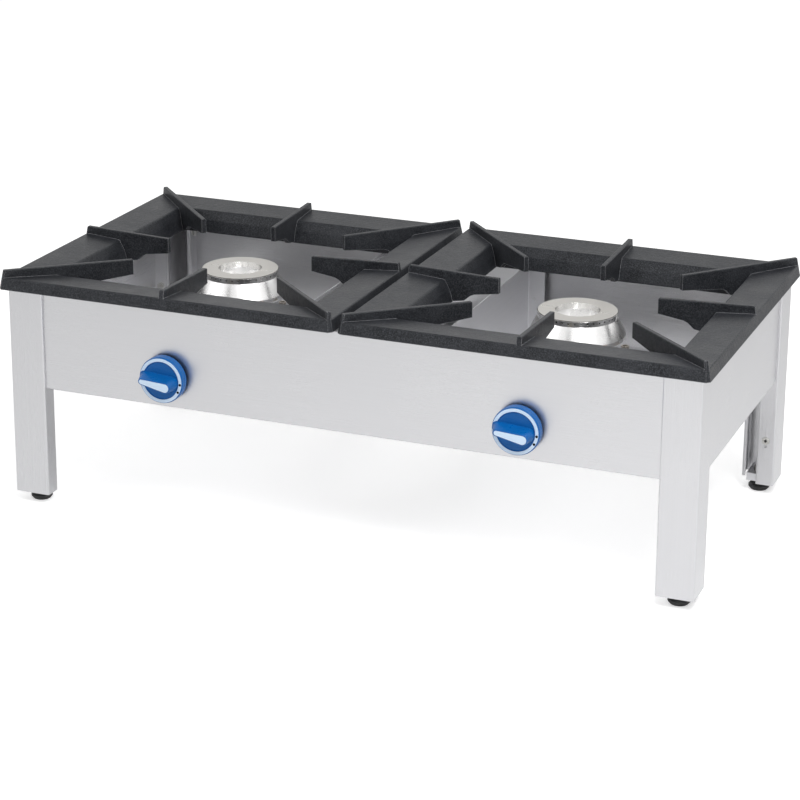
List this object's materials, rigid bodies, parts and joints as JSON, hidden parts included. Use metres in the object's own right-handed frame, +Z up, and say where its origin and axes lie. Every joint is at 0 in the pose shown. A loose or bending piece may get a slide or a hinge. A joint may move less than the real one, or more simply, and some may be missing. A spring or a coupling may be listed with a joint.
{
  "type": "stock pot range",
  "caption": "Low gas stock pot range: folded steel body on square legs, cast iron pan grates over ring burners, knobs on the front.",
  "frame": {"origin": "on the floor, in the middle of the footprint", "axes": "+Z up, +Y to the back, +X to the right seen from the front"},
  "size_m": [1.158, 0.6306, 0.393],
  "materials": {
    "stainless_sheet": "brushed stainless sheet",
    "inner_sheet": "stainless sheet, mill finish",
    "tray_sheet": "thin stainless sheet",
    "zinc_fastener": "zinc plated",
    "cast_iron_enamel": "black, satin, slightly worn at the edges",
    "burner_nickel": "nickel plated, machined",
    "burner_casting": "nickel plated casting, polished skirt",
    "shutter_steel": "plated sheet",
    "pilot_steel": "heat tinted steel",
    "copper": "drawn copper",
    "aluminium_tube": "drawn tube",
    "gas_pipe_steel": "galvanised pipe",
    "copper_pipe": "drawn copper pipe",
    "tap_brass": "machined brass",
    "spindle_steel": "turned steel",
    "knob_blue": "glossy moulded plastic",
    "knob_inlay": "pale printed inlay",
    "foot_black": "black moulded glide"
  },
  "bodies": {
    "range_frame": {"front_panel": "stainless_sheet", "rear_panel": "stainless_sheet", "left_side_panel": "stainless_sheet", "right_side_panel": "stainless_sheet", "front_left_leg": "stainless_sheet", "front_right_leg": "stainless_sheet", "rear_left_leg": "stainless_sheet", "rear_right_leg": "stainless_sheet", "foot_brackets": "inner_sheet", "foot_nuts": "zinc_fastener", "centre_beam": "inner_sheet", "panel_bolts": "zinc_fastener", "panel_nuts": "zinc_fastener", "frame_screws": "zinc_fastener", "lip_inserts": "zinc_fastener", "left_baffle": "inner_sheet", "left_burner_bracket": "inner_sheet", "left_tray_runners": "inner_sheet", "left_burner_body": "burner_casting", "left_pilot_burner": "pilot_steel", "left_thermocouple": "copper", "left_gas_tap": "tap_brass", "left_outlet_pipe": "copper_pipe", "left_injector": "tap_brass", "left_pilot_pipe": "aluminium_tube", "right_baffle": "inner_sheet", "right_burner_bracket": "inner_sheet", "right_tray_runners": "inner_sheet", "right_burner_body": "burner_casting", "right_pilot_burner": "pilot_steel", "right_thermocouple": "copper", "right_gas_tap": "tap_brass", "right_outlet_pipe": "copper_pipe", "right_injector": "tap_brass", "right_pilot_pipe": "aluminium_tube", "gas_rail": "gas_pipe_steel", "gas_tee": "gas_pipe_steel", "feed_pipe": "gas_pipe_steel", "inlet_connector": "gas_pipe_steel", "inlet_nut": "gas_pipe_steel"},
    "left_grate_body": {"left_grate": "cast_iron_enamel"},
    "left_cap_body": {"left_burner_cap": "burner_nickel"},
    "left_shutter_body": {"left_air_shutter": "shutter_steel"},
    "left_tray_body": {"left_drip_tray": "tray_sheet"},
    "left_plunger_body": {"left_valve_plunger": "spindle_steel"},
    "left_knob_body": {"left_knob": "knob_blue", "left_knob_inlay": "knob_inlay", "left_spindle": "spindle_steel"},
    "right_grate_body": {"right_grate": "cast_iron_enamel"},
    "right_cap_body": {"right_burner_cap": "burner_nickel"},
    "right_shutter_body": {"right_air_shutter": "shutter_steel"},
    "right_tray_body": {"right_drip_tray": "tray_sheet"},
    "right_plunger_body": {"right_valve_plunger": "spindle_steel"},
    "right_knob_body": {"right_knob": "knob_blue", "right_knob_inlay": "knob_inlay", "right_spindle": "spindle_steel"},
    "front_left_foot_body": {"front_left_foot": "foot_black"},
    "front_right_foot_body": {"front_right_foot": "foot_black"},
    "rear_left_foot_body": {"rear_left_foot": "foot_black"},
    "rear_right_foot_body": {"rear_right_foot": "foot_black"}
  },
  "joints": [
    {"name": "left_grate_lift", "type": "slide", "parent": "range_frame", "child": "left_grate_body", "axis": [0, 0, 1], "range_m": [0, 0.12]},
    {"name": "left_cap_lift", "type": "slide", "parent": "range_frame", "child": "left_cap_body", "axis": [0, 0, 1], "range_m": [0, 0.06]},
    {"name": "left_shutter_slide", "type": "slide", "parent": "range_frame", "child": "left_shutter_body", "axis": [0, 1, 0], "range_m": [-0.007, 0.007]},
    {"name": "left_tray_slide", "type": "slide", "parent": "range_frame", "child": "left_tray_body", "axis": [0, -1, 0], "range_m": [0, 0.4]},
    {"name": "left_knob_push", "type": "slide", "parent": "range_frame", "child": "left_plunger_body", "axis": [0, 1, 0], "range_m": [0, 0.004], "stiffness_N_per_m": 1500, "springref_m": -0.002},
    {"name": "left_knob_turn", "type": "hinge", "parent": "left_plunger_body", "child": "left_knob_body", "pos_m": [-0.2915, -0.29, 0.249], "axis": [0, -1, 0], "range_deg": [0, 225]},
    {"name": "right_grate_lift", "type": "slide", "parent": "range_frame", "child": "right_grate_body", "axis": [0, 0, 1], "range_m": [0, 0.12]},
    {"name": "right_cap_lift", "type": "slide", "parent": "range_frame", "child": "right_cap_body", "axis": [0, 0, 1], "range_m": [0, 0.06]},
    {"name": "right_shutter_slide", "type": "slide", "parent": "range_frame", "child": "right_shutter_body", "axis": [0, 1, 0], "range_m": [-0.007, 0.007]},
    {"name": "right_tray_slide", "type": "slide", "parent": "range_frame", "child": "right_tray_body", "axis": [0, -1, 0], "range_m": [0, 0.4]},
    {"name": "right_knob_push", "type": "slide", "parent": "range_frame", "child": "right_plunger_body", "axis": [0, 1, 0], "range_m": [0, 0.004], "stiffness_N_per_m": 1500, "springref_m": -0.002},
    {"name": "right_knob_turn", "type": "hinge", "parent": "right_plunger_body", "child": "right_knob_body", "pos_m": [0.2915, -0.29, 0.249], "axis": [0, -1, 0], "range_deg": [0, 225]},
    {"name": "front_left_foot_height", "type": "slide", "parent": "range_frame", "child": "front_left_foot_body", "axis": [0, 0, 1], "range_m": [-0.015, 0]},
    {"name": "front_right_foot_height", "type": "slide", "parent": "range_frame", "child": "front_right_foot_body", "axis": [0, 0, 1], "range_m": [-0.015, 0]},
    {"name": "rear_left_foot_height", "type": "slide", "parent": "range_frame", "child": "rear_left_foot_body", "axis": [0, 0, 1], "range_m": [-0.015, 0]},
    {"name": "rear_right_foot_height", "type": "slide", "parent": "range_frame", "child": "rear_right_foot_body", "axis": [0, 0, 1], "range_m": [-0.015, 0]}
  ]
}
